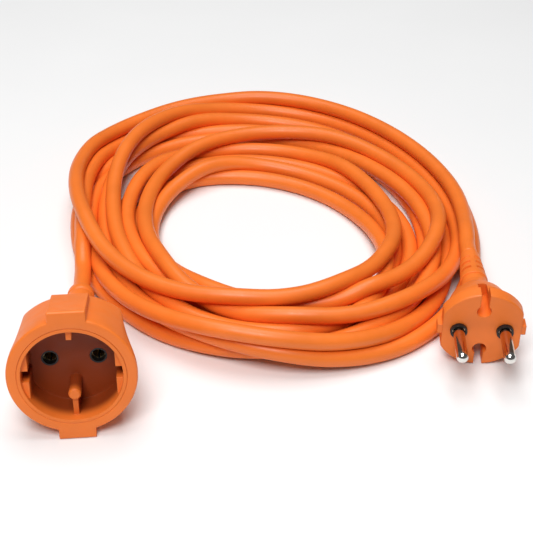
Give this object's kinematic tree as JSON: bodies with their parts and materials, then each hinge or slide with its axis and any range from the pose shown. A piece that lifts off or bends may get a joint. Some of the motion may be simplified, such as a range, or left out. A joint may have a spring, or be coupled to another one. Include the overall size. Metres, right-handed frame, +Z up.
{
  "type": "extension cord",
  "caption": "Two-pole extension cord wound into a loose round coil, with a round recessed socket on one end and a flat-sided contour plug on the other.",
  "frame": {"origin": "on the floor under the middle of the socket, measured from its foot lug to the end of its strain relief", "axes": "+Y along the socket from its mouth to its cord, on the floor; +X towards the plug; +Z up"},
  "size_m": [0.2172, 0.2475, 0.056],
  "materials": {
    "orange_body": "satin moulded PVC, very fine grain",
    "orange_cord": "satin extruded PVC sheath",
    "black_insert": "matt black thermoplastic",
    "nickel_pin": "bright nickel plate",
    "brass_contact": "drawn brass, dull",
    "copper_strand": null,
    "brown_core": "brown PVC insulation",
    "blue_core": "blue PVC insulation"
  },
  "bodies": {
    "root": {"socket_body": "orange_body", "socket_cup": "orange_body", "socket_contact_carrier": "black_insert", "socket_carrier_cover": "black_insert", "socket_contact_live": "brass_contact", "socket_contact_neutral": "brass_contact", "socket_strain_relief": "orange_body", "socket_sheath_end": "orange_cord", "socket_core_brown": "brown_core", "socket_core_blue": "blue_core", "socket_strands_brown": "copper_strand", "socket_strands_blue": "copper_strand", "plug_body": "orange_body", "plug_pin_bridge": "black_insert", "plug_pin_live": "nickel_pin", "plug_pin_neutral": "nickel_pin", "plug_strain_relief": "orange_body", "plug_sheath_end": "orange_cord", "plug_core_brown": "brown_core", "plug_core_blue": "blue_core", "plug_strands_brown": "copper_strand", "plug_strands_blue": "copper_strand", "cord_coil": "orange_cord", "cord_socket_lead": "orange_cord", "cord_plug_lead": "orange_cord"}
  },
  "joints": []
}
